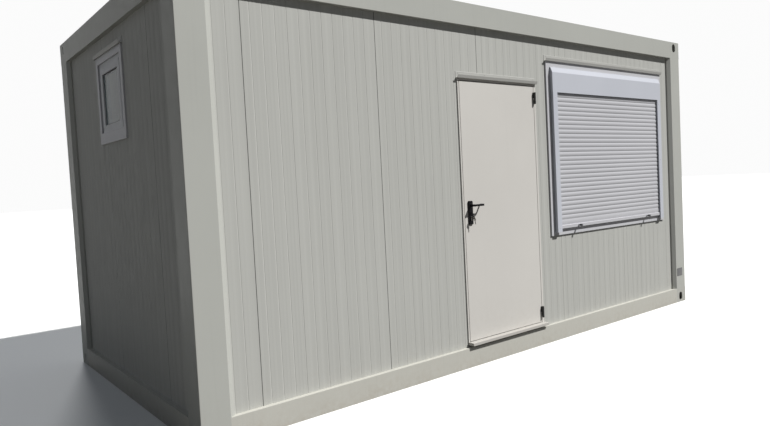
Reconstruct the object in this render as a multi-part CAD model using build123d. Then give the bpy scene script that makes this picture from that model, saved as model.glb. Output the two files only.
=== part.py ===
from build123d import *
import math
import os

os.makedirs("parts", exist_ok=True)

# All lengths are in millimetres, the long front faces -Y and +Z is up. The frame is drawn about its
# own centre, then moved so that the origin is the centre, at ground level, of all that the cabin
# covers, what stands out in front included. Along a side, lengths run from the left outer corner as seen
# from outside, and depths run inwards from the outer face of the frame.

# Overall size
length = 5550
width = 2700
height = 2800

# Folded steel frame
steel = 4
post_face = 183
post_core = 140
post_lip = 36
post_lip_depth = 24
post_bend = 5
floor_rail_height = 150
roof_rail_height = 170
rail_flange = 120
rail_lip = 18

# Cuts run on past both faces of what they go through
overrun = 1

# Corner blocks with lifting slots
block_wall = 10
side_slot_height = 88
side_slot_width = 64
side_slot_from_edge = 104
side_slot_from_end = 62
cap_slot_length = 124
cap_slot_width = 63.5
cap_slot_from_edge = 92

# Walls of ribbed panels
recess = 36
panel_thickness = 60
first_joint = 410
panels_in_row = 5
panel_module = (length - post_core - first_joint) / panels_in_row
end_panel_width = 1000
ribs_per_panel = 11
rib_after_joint = 61
rib_before_joint = 95
rib_width = 7
rib_depth = 1.4
rib_edge_margin = 6
joint_gap = 2

# Floor, ceiling and roof
deck_thickness = 22
deck_gap = 1
joist_width = 50
floor_joist_drop = 96
joist_pitch = 600
base_sheet_thickness = 2
roof_joist_height = 90
roof_joist_lift = 8
ceiling_thickness = rail_lip + roof_joist_lift
roof_wave_pitch = 250
roof_wave_height = 22
roof_wave_flank = 20
roof_wave_crown = 60
roof_sheet_thickness = 1.5
roof_sheet_gap = 1

# Door
door_before_joint = 230
door_frame_width = 931
door_lock_face = 13
door_hinge_face = 22
door_frame_cover = 6
door_frame_back = 10
door_face_depth = 28
door_stop = 15
door_swing_gap = 5
leaf_height = 2017
leaf_bottom = 193
leaf_thickness = 40
leaf_edge_round = 1.5
sill_nose = 25
sill_nose_thickness = 21
sill_upstand = 15
head_face = 15

# Hinges
hinge_stand_off = 14
hinge_radius = 9
hinge_half_height = 47
hinge_plate_thickness = 3
hinge_plate_reach = 15
hinge_edge_gap = 4
hinge_play = 0.5
hinge_from_top = 51
hinge_from_bottom = 40
hinge_web_edge = 8
hinge_pin_radius = 4
hinge_pin_play = 0.06
hinge_pin_reach = 33
hinge_pin_end_gap = 6

# Lever handle and lock
plate_width = 48
plate_height = 190
plate_thickness = 9
plate_from_edge = 60
plate_above_lever = 38
lever_height = 1250
lever_length = 115
lever_neck_radius = 9
lever_stand_off = 50
lever_bar_height = 16
lever_bar_thickness = 11
lever_bar_chamfer = 3
lever_return_gap = 7
lever_bend = 14
spindle_side = 9
spindle_bore_radius = 12
neck_play = 0.4
cylinder_drop = 92
cylinder_radius = 8.5
cylinder_body_width = 10
cylinder_body_height = 24
cylinder_proud = 4
cylinder_play = 0.3

# Rain gutters that keep the roof's drips off each opening
gutter_overhang = 10
gutter_floor = 24
gutter_lip = 22
gutter_lean = 6
gutter_leg = 48
gutter_sheet = 2

# Front window with its roller shutter
window_before_joint = 146
window_short_of_panels = 84
window_height = 1524
window_below_roof = 358
trim_face = 49
trim_proud = 12
trim_cover = 30
mitre_gap = 0.3
frame_depth = 70
frame_member = 50
sash_member = 52
sash_depth = 56
sash_set_back = 8
glass_thickness = 24
fit_gap = 0.5
rebate_lip = 10

shutter_proud = 4
shutter_box_height = 218
shutter_box_depth = 165
shutter_bevel_height = 45
shutter_bevel_depth = 18
shutter_box_gap = 3
guide_face = 61
guide_slot_depth = 24
guide_overhang = 27
slat_pitch = 40
slat_count = 29
slat_knuckle = 5
slat_bulge = 3
slat_knuckle_depth = 1
curtain_thickness = 9
curtain_set_back = 15
curtain_play = 1.5
curtain_tuck = 16
curtain_foot = 4
bottom_bar_height = 84
bottom_bar_foot = 32
bottom_bar_proud = 7
bottom_bar_toe = 3
bottom_bar_play = 2
stop_radius = 9
stop_reach = 32
stop_lift = 8
stop_from_end = 274

# Small high window in the left end, almost flush with its trim
end_window_from_back = 1000
end_window_side = 640
end_window_below_roof = 303
end_window_foot = 81
end_sash_set_back = -6
end_glass_set_back = 10

# How far the lever handle, and then whatever is farthest of all, stands out in front of the frame
lever_reach = lever_stand_off + lever_bar_thickness / 2 - door_face_depth
front_reach = max(lever_reach, stop_reach, sill_nose)


def across(along):
    return along - length / 2


def inwards(depth):
    return depth - width / 2


def box_between(x0, x1, y0, y1, z0, z1):
    return Pos((x0 + x1) / 2, (y0 + y1) / 2, (z0 + z1) / 2) * Box(x1 - x0, y1 - y0, z1 - z0)


def prism_up(points, z0, z1):
    # A plan outline, as tall as from z0 to z1
    outline = make_face(Polyline(*points, close=True))
    return Pos(0, 0, z0) * extrude(outline, amount=z1 - z0, dir=(0, 0, 1))


def prism_along(points, x0, x1):
    # A section seen from the end, given as depth and height, running along +X
    outline = make_face(Polyline(*[(0, y, z) for y, z in points], close=True))
    return Pos(x0, 0, 0) * extrude(outline, amount=x1 - x0, dir=(1, 0, 0))


def write(name, *shapes):
    solids = [solid for shape in shapes for solid in shape.solids()]
    solids = [Pos(0, front_reach / 2, 0) * solid for solid in solids]
    piece = solids[0] if len(solids) == 1 else Compound(children=solids)
    piece.label = name
    export_step(piece, os.path.join("parts", name + ".step"))


# The four sides of the building: each turns a front-facing piece to its own side

def on_front(shape):
    return Pos(across(0), inwards(0), 0) * shape


def on_back(shape):
    return Rot(0, 0, 180) * Pos(across(0), inwards(0), 0) * shape


def on_left(shape):
    return Rot(0, 0, -90) * Pos(-width / 2, -length / 2, 0) * shape


def on_right(shape):
    return Rot(0, 0, 90) * Pos(-width / 2, -length / 2, 0) * shape


def at_each_corner(shape):
    # The piece at the front left corner, and its mirror images at the other three
    left = on_front(shape)
    right = mirror(left, about=Plane.YZ)
    return [left, right, mirror(left, about=Plane.XZ), mirror(right, about=Plane.XZ)]


wall_foot = floor_rail_height
wall_head = height - roof_rail_height
deck_top = wall_foot + deck_thickness
inner_face = recess + panel_thickness


# Steel frame

def corner_block(block_height, slot_on_top):
    # A hollow welded corner with one slot in each of its three outer faces
    outside = box_between(0, post_face, 0, post_face, 0, block_height)
    inside = box_between(block_wall, post_face - block_wall, block_wall, post_face - block_wall,
                         block_wall, block_height - block_wall)
    slot_height = block_height - side_slot_from_end if slot_on_top else side_slot_from_end
    cap_height = block_height if slot_on_top else 0
    upright_slot = extrude(SlotOverall(side_slot_height, side_slot_width, rotation=90),
                           amount=block_wall + overrun, both=True)
    flat_slot = extrude(SlotOverall(cap_slot_length, cap_slot_width), amount=block_wall + overrun, both=True)
    block = outside - inside
    block -= Pos(side_slot_from_edge, 0, slot_height) * Rot(90, 0, 0) * upright_slot
    block -= Pos(0, side_slot_from_edge, slot_height) * Rot(90, 0, 90) * upright_slot
    block -= Pos(cap_slot_from_edge, cap_slot_from_edge, cap_height) * flat_slot
    return block


def corner_post():
    # One folded sheet: two broad faces, a sloping lip beside each wall and a core indoors
    lip_end = post_face + post_lip
    outline = [
        (0, 0), (post_face, 0), (lip_end, post_lip_depth), (lip_end, recess),
        (post_core, recess), (post_core, post_core), (recess, post_core),
        (recess, lip_end), (post_lip_depth, lip_end), (0, post_face),
    ]
    skin = make_face(Polyline(*outline, close=True))
    outer_corner = skin.vertices().sort_by(lambda v: v.X + v.Y)[0]
    skin = fillet(outer_corner, post_bend)
    hollow = offset(skin, amount=-steel, kind=Kind.INTERSECTION)
    return Pos(0, 0, wall_foot) * extrude(skin - hollow, amount=wall_head - wall_foot, dir=(0, 0, 1))


def folded_rail(span, rail_height, foot):
    # A channel with its web outside and both flanges turned in, each with a small lip
    t = steel
    outline = [
        (0, 0), (rail_flange, 0), (rail_flange, rail_lip), (rail_flange - t, rail_lip),
        (rail_flange - t, t), (t, t), (t, rail_height - t), (rail_flange - t, rail_height - t),
        (rail_flange - t, rail_height - rail_lip), (rail_flange, rail_height - rail_lip),
        (rail_flange, rail_height), (0, rail_height),
    ]
    section = [(y, z + foot) for y, z in outline]
    return prism_along(section, post_face, span - post_face)


def rails_all_round(rail_height, foot):
    spans = [(on_front, length), (on_back, length), (on_left, width), (on_right, width)]
    return [place(folded_rail(span, rail_height, foot)) for place, span in spans]


def joist_places():
    room = length - 2 * post_face
    bays = max(1, round(room / joist_pitch))
    step = room / bays
    return [post_face + step * i for i in range(1, bays)]


def floor_joists():
    # Each joist is notched under the rail flanges and flush with their tops between them
    low = floor_rail_height - floor_joist_drop
    notch = floor_rail_height - rail_lip
    tip = rail_flange
    outline = [
        (steel, low), (width - steel, low), (width - steel, notch), (width - tip, notch),
        (width - tip, floor_rail_height), (tip, floor_rail_height), (tip, notch), (steel, notch),
    ]
    profile = [(inwards(y), z) for y, z in outline]
    return [prism_along(profile, across(x) - joist_width / 2, across(x) + joist_width / 2)
            for x in joist_places()]


def roof_joists():
    low = wall_head + rail_lip + roof_joist_lift
    high = low + roof_joist_height
    return [box_between(across(x) - joist_width / 2, across(x) + joist_width / 2,
                        inwards(steel), -inwards(steel), low, high) for x in joist_places()]


def notched_slab(edge, corner, z0, z1):
    # A slab inside the frame, with a square notch round each corner post
    x_edge = -across(edge)
    y_edge = -inwards(edge)
    x_notch = -across(corner)
    y_notch = -inwards(corner)
    points = [
        (-x_notch, -y_edge), (x_notch, -y_edge), (x_notch, -y_notch), (x_edge, -y_notch),
        (x_edge, y_notch), (x_notch, y_notch), (x_notch, y_edge), (-x_notch, y_edge),
        (-x_notch, y_notch), (-x_edge, y_notch), (-x_edge, -y_notch), (-x_notch, -y_notch),
    ]
    return prism_up(points, z0, z1)


def roof_sheet():
    # Trapezoid ribs run from front to back on the joists, under the rail flanges
    bed = wall_head + rail_lip + roof_joist_lift + roof_joist_height
    half = -across(post_face + roof_sheet_gap)
    waves = int(2 * half // roof_wave_pitch)
    start = -waves * roof_wave_pitch / 2
    crown = roof_wave_crown / 2
    lower = [(-half, 0)]
    for i in range(waves):
        middle = start + (i + 0.5) * roof_wave_pitch
        lower += [
            (middle - crown - roof_wave_flank, 0), (middle - crown, roof_wave_height),
            (middle + crown, roof_wave_height), (middle + crown + roof_wave_flank, 0),
        ]
    lower.append((half, 0))
    upper = [(x, z + roof_sheet_thickness) for x, z in reversed(lower)]
    outline = [(x, 0, bed + z) for x, z in lower + upper]
    face = make_face(Polyline(*outline, close=True))
    edge = steel + roof_sheet_gap
    return Pos(0, inwards(edge), 0) * extrude(face, amount=width - 2 * edge, dir=(0, 1, 0))


# Walls

def rib_centres(start, end, joint, module):
    # The same row of grooves on every panel, evenly spaced and a little off its middle
    pitch = (module - rib_after_joint - rib_before_joint) / (ribs_per_panel - 1)
    first = math.floor((start - joint) / module)
    last = math.ceil((end - joint) / module)
    margin = rib_width / 2 + rib_edge_margin
    centres = [joint + k * module + rib_after_joint + i * pitch
               for k in range(first, last + 1) for i in range(ribs_per_panel)]
    return [c for c in centres if start + margin < c < end - margin]


def wall_piece(start, end, z0, z1, joint, module):
    # One panel, ribbed on its outer face
    face_line = [(start, recess)]
    for c in rib_centres(start, end, joint, module):
        face_line += [(c - rib_width / 2, recess), (c, recess + rib_depth), (c + rib_width / 2, recess)]
    face_line += [(end, recess), (end, inner_face), (start, inner_face)]
    return prism_up(face_line, z0, z1)


def wall_run(start, end, z0, z1, joint, module):
    # A stretch of wall, parted at every panel joint that it crosses
    first = math.ceil((start - joint) / module)
    last = math.floor((end - joint) / module)
    joints = [joint + k * module for k in range(first, last + 1)]
    inner = [j for j in joints if start + joint_gap < j < end - joint_gap]
    starts = [start] + [j + joint_gap / 2 for j in inner]
    ends = [j - joint_gap / 2 for j in inner] + [end]
    return [wall_piece(a, b, z0, z1, joint, module) for a, b in zip(starts, ends)]


# Door

door_left = first_joint + 2 * panel_module - door_before_joint
door_right = door_left + door_frame_width
cut_left = door_left + door_frame_cover
cut_right = door_right - door_frame_cover
lock_side = door_left + door_lock_face
hinge_side = door_right - door_hinge_face
leaf_left = lock_side + door_swing_gap
leaf_right = hinge_side - door_swing_gap
leaf_top = leaf_bottom + leaf_height
head_under = leaf_top + door_swing_gap
head_top = head_under + head_face
cut_top = head_top - door_frame_cover
sill_top = leaf_bottom - door_swing_gap
leaf_back = door_face_depth + leaf_thickness
stop_depth = leaf_back + door_swing_gap
frame_back = inner_face + door_frame_back


def jamb_outline(face):
    # Plan of a jamb, from the outer edge of the frame
    stop = face + door_stop
    return [
        (0, door_face_depth), (face, door_face_depth), (face, stop_depth), (stop, stop_depth),
        (stop, frame_back), (door_frame_cover, frame_back), (door_frame_cover, recess), (0, recess),
    ]


def door_frame():
    foot = sill_top + mitre_gap
    left = prism_up([(door_left + x, y) for x, y in jamb_outline(door_lock_face)], foot, cut_top)
    right = prism_up([(door_right - x, y) for x, y in jamb_outline(door_hinge_face)], foot, cut_top)
    left += box_between(door_left, lock_side, door_face_depth, recess, cut_top, head_top)
    right += box_between(hinge_side, door_right, door_face_depth, recess, cut_top, head_top)
    x0 = lock_side + mitre_gap
    x1 = hinge_side - mitre_gap
    head_cover = box_between(x0, x1, door_face_depth, recess, head_under, head_top)
    head_core = box_between(x0, x1, recess, stop_depth, head_under, cut_top)
    head_stop = box_between(x0 + door_stop, x1 - door_stop,
                            stop_depth, frame_back, head_under - door_stop, cut_top)
    return [on_front(left), on_front(right), on_front(head_cover + head_core + head_stop)]


def door_sill():
    # A flat nose in front, the closing step under the leaf and an upstand behind it
    nose = box_between(door_left, door_right, -sill_nose, recess, sill_top - sill_nose_thickness, sill_top)
    step = [
        (recess, wall_foot), (recess, sill_top), (frame_back, sill_top),
        (frame_back, deck_top), (inner_face, deck_top), (inner_face, wall_foot),
    ]
    upstand_edge = door_stop + mitre_gap
    upstand = box_between(lock_side + upstand_edge, hinge_side - upstand_edge,
                          stop_depth, frame_back, sill_top, sill_top + sill_upstand)
    return on_front(nose + prism_along(step, cut_left, cut_right) + upstand)


handle_along = leaf_left + plate_from_edge
cylinder_height = lever_height - cylinder_drop


def euro_profile(extra):
    # Round plug above a straight-sided stem, the usual outline of a profile cylinder
    stem_half = cylinder_body_width / 2 + extra
    stem = Pos(0, -cylinder_body_height / 2) * Rectangle(2 * stem_half, cylinder_body_height)
    foot = Pos(0, -cylinder_body_height) * Circle(stem_half)
    return Circle(cylinder_radius + extra) + stem + foot


def through_leaf(sketch, height_at, start, end):
    # A sketch drawn as seen from outside, run inwards from one depth to another
    place = Pos(handle_along, start, height_at) * Rot(90, 0, 0)
    return on_front(place * extrude(sketch, amount=start - end))


def lock_cuts(neck_radius, start, end):
    # The two holes that the lever's neck and the lock cylinder need between two depths
    start = start - overrun
    end = end + overrun
    neck_hole = through_leaf(Circle(neck_radius), lever_height, start, end)
    return neck_hole + through_leaf(euro_profile(cylinder_play), cylinder_height, start, end)


def door_leaf():
    leaf = box_between(leaf_left, leaf_right, door_face_depth, leaf_back, leaf_bottom, leaf_top)
    leaf = on_front(fillet(leaf.edges().filter_by(Axis.Z), leaf_edge_round))
    return leaf - lock_cuts(spindle_bore_radius, door_face_depth, leaf_back)


def back_plate(start):
    outline = SlotOverall(plate_height, plate_width, rotation=90)
    end = start + plate_thickness
    plate = through_leaf(outline, lever_height + plate_above_lever - plate_height / 2, start, end)
    return plate - lock_cuts(lever_neck_radius + neck_play, start, end)


def lock_cylinder():
    proud = plate_thickness + cylinder_proud
    return through_leaf(euro_profile(0), cylinder_height, door_face_depth - proud, leaf_back + proud)


def lever_arm():
    # A round neck carries a flat bar that runs along the leaf and bends back towards it
    neck = Rot(90, 0, 0) * extrude(Circle(lever_neck_radius), amount=lever_stand_off)
    tip = lever_length - lever_bar_thickness / 2
    hub = (0, -lever_stand_off, 0)
    bar_line = FilletPolyline(hub, (tip, -lever_stand_off, 0), (tip, -lever_return_gap, 0), radius=lever_bend)
    bar_section = chamfer(Rectangle(lever_bar_thickness, lever_bar_height).vertices(), lever_bar_chamfer)
    bar = sweep(Plane(origin=hub, x_dir=(0, 1, 0), z_dir=(1, 0, 0)) * bar_section, path=bar_line)
    hub_cap = Pos(*hub) * Rot(90, 0, 0) * extrude(Circle(lever_neck_radius), amount=lever_bar_thickness / 2)
    return neck + bar + hub_cap


def lever_handle():
    outer = on_front(Pos(handle_along, door_face_depth, lever_height) * lever_arm())
    inner = on_front(Pos(handle_along, leaf_back, lever_height) * mirror(lever_arm(), about=Plane.XZ))
    spindle = through_leaf(Rectangle(spindle_side, spindle_side), lever_height,
                           door_face_depth - overrun, leaf_back + overrun)
    return outer + inner + spindle


hinge_along = (leaf_right + hinge_side) / 2
hinge_depth = door_face_depth - hinge_stand_off


def hinge_feet():
    return [leaf_bottom + hinge_from_bottom, leaf_top - hinge_from_top - 2 * hinge_half_height]


def hinge_half(foot, towards_leaf):
    # A plate on the face, a web up to the knuckle, and the knuckle round the pin axis
    side = -1 if towards_leaf else 1
    near = side * hinge_edge_gap
    far = side * hinge_plate_reach
    web = side * hinge_web_edge
    back = hinge_stand_off
    front = hinge_stand_off - hinge_plate_thickness
    corners = [(near, back), (far, back), (far, front), (web, front), (web, 0), (near, 0)]
    plan = make_face(Polyline(*corners, close=True)) + Circle(hinge_radius)
    body = extrude(plan, amount=hinge_half_height - hinge_play, dir=(0, 0, 1))
    return Pos(hinge_along, hinge_depth, foot) * body


def frame_hinges():
    halves = []
    for foot in hinge_feet():
        half = hinge_half(foot, False)
        top = Pos(hinge_along, hinge_depth, foot + hinge_half_height - hinge_play)
        pin = top * extrude(Circle(hinge_pin_radius), amount=hinge_pin_reach, dir=(0, 0, 1))
        halves.append(on_front(half + pin))
    return halves


def leaf_hinges():
    halves = []
    depth = hinge_pin_reach + hinge_pin_end_gap
    for foot in hinge_feet():
        half = hinge_half(foot + hinge_half_height, True)
        bottom = Pos(hinge_along, hinge_depth, foot + hinge_half_height - overrun)
        bore = bottom * extrude(Circle(hinge_pin_radius + hinge_pin_play), amount=depth, dir=(0, 0, 1))
        halves.append(on_front(half - bore))
    return halves


# Rain gutters

def rain_gutter(start, end, foot):
    # A folded sheet, open at both ends: a leg on the wall, a flat floor and a lip that leans outwards
    s = gutter_sheet
    bend = recess - gutter_floor
    edge = bend - gutter_lean
    section = [
        (bend, foot), (edge, foot + gutter_lip), (edge + s, foot + gutter_lip), (bend + s, foot + s),
        (recess - s, foot + s), (recess - s, foot + gutter_leg), (recess, foot + gutter_leg), (recess, foot),
    ]
    return prism_along(section, start - gutter_overhang, end + gutter_overhang)


# Windows

def mitred_ring(x0, x1, z0, z1, member, y0, y1, foot=None):
    # Four members that meet in mitres, each a fitted hair apart; the lowest may be taller
    g = mitre_gap / 2
    m = member
    f = foot or member
    plans = [
        [(x0 + g, z0), (x1 - g, z0), (x1 - m - g, z0 + f), (x0 + m + g, z0 + f)],
        [(x0 + g, z1), (x1 - g, z1), (x1 - m - g, z1 - m), (x0 + m + g, z1 - m)],
        [(x0, z0 + g), (x0 + m, z0 + f + g), (x0 + m, z1 - m - g), (x0, z1 - g)],
        [(x1, z0 + g), (x1 - m, z0 + f + g), (x1 - m, z1 - m - g), (x1, z1 - g)],
    ]
    members = []
    for plan in plans:
        outline = make_face(Polyline(*[(x, y0, z) for x, z in plan], close=True))
        members.append(extrude(outline, amount=y1 - y0, dir=(0, 1, 0)))
    return members


trim_depth = recess - trim_proud
win_left = first_joint + 3 * panel_module - window_before_joint
win_right = win_left + 2 * panel_module - window_short_of_panels
win_top = height - window_below_roof
win_bottom = win_top - window_height
win_middle = (win_left + win_right) / 2
win_cut_left = win_left + trim_cover
win_cut_right = win_right - trim_cover
win_cut_bottom = win_bottom + trim_cover
win_cut_top = win_top - trim_cover
box_top = win_top - trim_face - shutter_box_gap
box_bottom = box_top - shutter_box_height
box_left = win_left + trim_face + shutter_box_gap
box_right = win_right - trim_face - shutter_box_gap
curtain_front = curtain_set_back - shutter_proud
curtain_back = curtain_front + curtain_thickness
slot_front = curtain_front - curtain_play
slot_back = curtain_back + curtain_play
curtain_start = box_left + guide_face - curtain_tuck
curtain_end = box_right - guide_face + curtain_tuck
curtain_low = win_bottom + trim_face + curtain_foot
slats_low = curtain_low + bottom_bar_height + mitre_gap
slats_high = slats_low + slat_count * slat_pitch
frame_foot = win_cut_bottom + fit_gap
frame_top = box_bottom - fit_gap


def rebated_ring(x0, x1, z0, z1, sash_start):
    # Frame members with a stop at the back that the closed sash rests on
    back = sash_start + sash_depth
    bars = mitred_ring(x0, x1, z0, z1, frame_member, recess, back)
    stops = mitred_ring(x0, x1, z0, z1, frame_member + rebate_lip, back, recess + frame_depth)
    return [bar + stop for bar, stop in zip(bars, stops)]


def window_frame():
    start = recess + sash_set_back
    ring = rebated_ring(win_cut_left + fit_gap, win_cut_right - fit_gap, frame_foot, frame_top, start)
    back = start + sash_depth
    half = frame_member / 2
    inset = frame_member + mitre_gap
    bar = box_between(win_middle - half, win_middle + half, recess, back,
                      frame_foot + inset, frame_top - inset)
    half += rebate_lip
    inset += rebate_lip
    bar += box_between(win_middle - half, win_middle + half, back, recess + frame_depth,
                       frame_foot + inset, frame_top - inset)
    return [on_front(piece) for piece in ring + [bar]]


def sash_spans():
    # The two openings of the frame, less the hair of room that a closed sash has
    low = frame_foot + frame_member + fit_gap
    high = frame_top - frame_member - fit_gap
    outer = win_cut_left + 2 * fit_gap + frame_member
    inner = win_middle - frame_member / 2 - fit_gap
    return [(outer, inner, low, high), (2 * win_middle - inner, 2 * win_middle - outer, low, high)]


def window_sashes():
    start = recess + sash_set_back
    pieces = []
    for x0, x1, z0, z1 in sash_spans():
        pieces += [on_front(p) for p in mitred_ring(x0, x1, z0, z1, sash_member, start, start + sash_depth)]
    return pieces


def glass_pane(x0, x1, z0, z1, start):
    inset = sash_member + mitre_gap
    return box_between(x0 + inset, x1 - inset, start, start + glass_thickness, z0 + inset, z1 - inset)


def window_trim(x0, x1, z0, z1, foot=trim_face):
    return mitred_ring(x0, x1, z0, z1, trim_face, trim_depth, recess, foot)


def shutter_box():
    # A bevelled housing in front of the wall, and the roll's case that fills the cut behind it
    front = -shutter_proud
    hood = [
        (front, box_bottom), (front, box_top - shutter_bevel_height), (front + shutter_bevel_depth, box_top),
        (recess, box_top), (recess, box_bottom), (slot_back, box_bottom), (slot_back, slats_high),
        (slot_front, slats_high), (slot_front, box_bottom),
    ]
    case = box_between(win_cut_left + fit_gap, win_cut_right - fit_gap, recess, shutter_box_depth,
                       box_bottom, win_cut_top - fit_gap)
    return on_front(prism_along(hood, box_left, box_right) + case)


def shutter_guides():
    # Channels beside the curtain: the slats run in the slot between the two lips
    front = -shutter_proud
    slot_end = guide_face - guide_slot_depth
    outline = [
        (0, front), (guide_face, front), (guide_face, slot_front), (slot_end, slot_front),
        (slot_end, slot_back), (guide_face, slot_back), (guide_face, trim_depth), (0, trim_depth),
    ]
    z0 = win_bottom + guide_overhang
    left = prism_up([(box_left + x, y) for x, y in outline], z0, box_bottom)
    right = prism_up([(box_right - x, y) for x, y in outline], z0, box_bottom)
    return [on_front(left), on_front(right)]


def shutter_curtain():
    # Every slat bows outwards between two narrow knuckles
    front = curtain_front + slat_bulge
    knuckle = front + slat_knuckle_depth
    back = curtain_back
    edges = []
    for i in range(slat_count):
        foot = slats_low + i * slat_pitch
        head = foot + slat_pitch
        bow_top = head - slat_knuckle
        bow_middle = (0, curtain_front, (foot + bow_top) / 2)
        edges.append(ThreePointArc((0, front, foot), bow_middle, (0, front, bow_top)))
        groove = [(front, bow_top), (knuckle, bow_top), (knuckle, head), (front, head)]
        edges.append(Polyline(*[(0, y, z) for y, z in groove]))
    rest = [(front, slats_high), (back, slats_high), (back, slats_low), (front, slats_low)]
    edges.append(Polyline(*[(0, y, z) for y, z in rest]))
    curtain = extrude(make_face(edges), amount=curtain_end - curtain_start, dir=(1, 0, 0))
    return on_front(Pos(curtain_start, 0, 0) * curtain)


def shutter_bottom_bar():
    # The bowed end slat, its thick foot between the guides, and two buffers that stop it under the box
    low = curtain_low
    ledge = low + bottom_bar_foot
    high = low + bottom_bar_height
    groove = curtain_front + slat_bulge
    bow = ThreePointArc((0, groove, ledge), (0, curtain_front, (ledge + high) / 2), (0, groove, high))
    rest = [(groove, high), (curtain_back, high), (curtain_back, low), (groove, low), (groove, ledge)]
    slat = make_face([bow, Polyline(*[(0, y, z) for y, z in rest])])
    bar = Pos(curtain_start, 0, 0) * extrude(slat, amount=curtain_end - curtain_start, dir=(1, 0, 0))
    front = curtain_front - bottom_bar_proud
    toe = front + bottom_bar_toe
    foot = [
        (toe, low), (front, low + bottom_bar_toe), (front, ledge - bottom_bar_toe), (toe, ledge),
        (groove, ledge), (groove, low),
    ]
    foot_inset = guide_face + bottom_bar_play
    bar += prism_along(foot, box_left + foot_inset, box_right - foot_inset)
    for x in (curtain_start + stop_from_end, curtain_end - stop_from_end):
        place = Pos(x, front + overrun, low + stop_radius + stop_lift) * Rot(90, 0, 0)
        bar += place * extrude(Circle(stop_radius), amount=stop_reach + front + overrun)
    return on_front(bar)


# Left end window, measured along the left side from the far outer corner
end_left = end_window_from_back
end_right = end_left + end_window_side
end_top = height - end_window_below_roof
end_bottom = end_top - end_window_side
end_sash_start = recess + end_sash_set_back


def end_window_frame():
    c = trim_cover
    ring = rebated_ring(end_left + c + fit_gap, end_right - c - fit_gap, end_bottom + c + fit_gap,
                        end_top - c - fit_gap, end_sash_start)
    return [on_left(piece) for piece in ring]


def end_sash_span():
    inset = trim_cover + 2 * fit_gap + frame_member
    return end_left + inset, end_right - inset, end_bottom + inset, end_top - inset


# Write the frame
write("corner_blocks_bottom", *at_each_corner(corner_block(floor_rail_height, False)))
write("corner_blocks_top", *at_each_corner(Pos(0, 0, wall_head) * corner_block(roof_rail_height, True)))
write("corner_posts", *at_each_corner(corner_post()))
write("floor_rails", *rails_all_round(floor_rail_height, 0))
write("roof_rails", *rails_all_round(roof_rail_height, wall_head))

# Write the floor, ceiling and roof
joist_foot = floor_rail_height - floor_joist_drop
write("floor_joists", *floor_joists())
write("base_sheet", notched_slab(steel, post_face + deck_gap, joist_foot - base_sheet_thickness, joist_foot))
write("floor_deck", notched_slab(inner_face + deck_gap, post_core + deck_gap, wall_foot, deck_top))
ceiling_top = wall_head + ceiling_thickness
write("ceiling_panel", notched_slab(rail_flange + deck_gap, post_face + deck_gap, wall_head, ceiling_top))
write("roof_joists", *roof_joists())
write("roof_sheet", roof_sheet())

# Write the walls, each split beside and over its openings
front_places = {
    "left": [(post_core, cut_left, wall_foot, wall_head)],
    "over_door": [(cut_left, cut_right, cut_top, wall_head)],
    "middle": [(cut_right, win_cut_left, wall_foot, wall_head)],
    "at_window": [(win_cut_left, win_cut_right, win_cut_top, wall_head),
                  (win_cut_left, win_cut_right, wall_foot, win_cut_bottom)],
    "right": [(win_cut_right, length - post_core, wall_foot, wall_head)],
}
for name, spans in front_places.items():
    runs = [wall_run(*span, first_joint, panel_module) for span in spans]
    write("front_wall_" + name, *[on_front(p) for run in runs for p in run])
end_cut_left = end_left + trim_cover
end_cut_right = end_right - trim_cover
left_places = {
    "back": [(post_core, end_cut_left, wall_foot, wall_head)],
    "at_window": [(end_cut_left, end_cut_right, end_top - trim_cover, wall_head),
                  (end_cut_left, end_cut_right, wall_foot, end_bottom + trim_cover)],
    "front": [(end_cut_right, width - post_core, wall_foot, wall_head)],
}
for name, spans in left_places.items():
    runs = [wall_run(*span, post_core, end_panel_width) for span in spans]
    write("left_wall_" + name, *[on_left(p) for run in runs for p in run])
back_span = (post_core, length - post_core, wall_foot, wall_head)
right_span = (post_core, width - post_core, wall_foot, wall_head)
write("back_wall", *[on_back(p) for p in wall_run(*back_span, first_joint, panel_module)])
write("right_wall", *[on_right(p) for p in wall_run(*right_span, post_core, end_panel_width)])

# Write the door
write("door_frame", *door_frame())
write("door_sill", door_sill())
write("door_leaf", door_leaf())
write("door_hinges_on_frame", *frame_hinges())
write("door_hinges_on_leaf", *leaf_hinges())
write("handle_plates", back_plate(door_face_depth - plate_thickness), back_plate(leaf_back))
write("lock_cylinder", lock_cylinder())
write("lever_handle", lever_handle())
write("door_drip_cap", on_front(rain_gutter(door_left, door_right, head_top)))

# Write the front window and its shutter
glass_start = recess + sash_set_back + (sash_depth - glass_thickness) / 2
write("window_trim", *[on_front(p) for p in window_trim(win_left, win_right, win_bottom, win_top)])
write("window_frame", *window_frame())
write("window_sashes", *window_sashes())
write("window_glass", *[on_front(glass_pane(*span, glass_start)) for span in sash_spans()])
write("window_drip_cap", on_front(rain_gutter(win_left, win_right, win_top + mitre_gap)))
write("shutter_box", shutter_box())
write("shutter_guides", *shutter_guides())
write("shutter_curtain", shutter_curtain())
write("shutter_bottom_bar", shutter_bottom_bar())

# Write the end window
end_sash = mitred_ring(*end_sash_span(), sash_member, end_sash_start, end_sash_start + sash_depth)
end_trim = window_trim(end_left, end_right, end_bottom, end_top, end_window_foot)
write("end_window_trim", *[on_left(p) for p in end_trim])
write("end_window_frame", *end_window_frame())
write("end_window_sash", *[on_left(p) for p in end_sash])
write("end_window_glass", on_left(glass_pane(*end_sash_span(), end_sash_start + end_glass_set_back)))
write("end_window_drip_cap", on_left(rain_gutter(end_left, end_right, end_top + mitre_gap)))
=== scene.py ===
import math

import bmesh
import bpy
from mathutils import Matrix, Vector


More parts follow.
